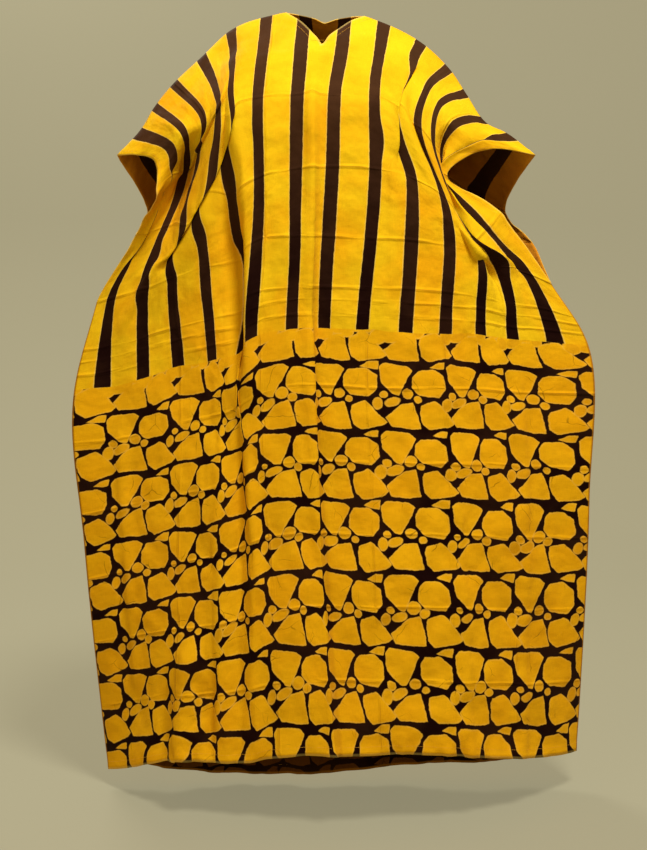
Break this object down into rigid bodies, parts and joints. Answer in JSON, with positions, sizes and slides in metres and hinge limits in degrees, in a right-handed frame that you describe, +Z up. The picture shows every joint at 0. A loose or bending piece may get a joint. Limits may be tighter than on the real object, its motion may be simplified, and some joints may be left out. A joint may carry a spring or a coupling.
{
  "type": "grand boubou robe",
  "caption": "Worn grand boubou robe in printed cotton, with wide front and back panels sewn at the shoulders and sides, an open V neck, open armholes and an open hem.",
  "frame": {"origin": "on the wearer's shoulders, midway between the sides of the neck, under the neck opening", "axes": "+Z up, -Y the way the wearer faces, +X to the wearer's left"},
  "size_m": [1.0231, 0.3509, 1.5284],
  "materials": {
    "printed_cotton": "matt plain-weave cotton with a dark resist print of stripes over stones on golden yellow"
  },
  "bodies": {
    "root": {"front_panel": "printed_cotton", "back_panel": "printed_cotton"}
  },
  "joints": []
}
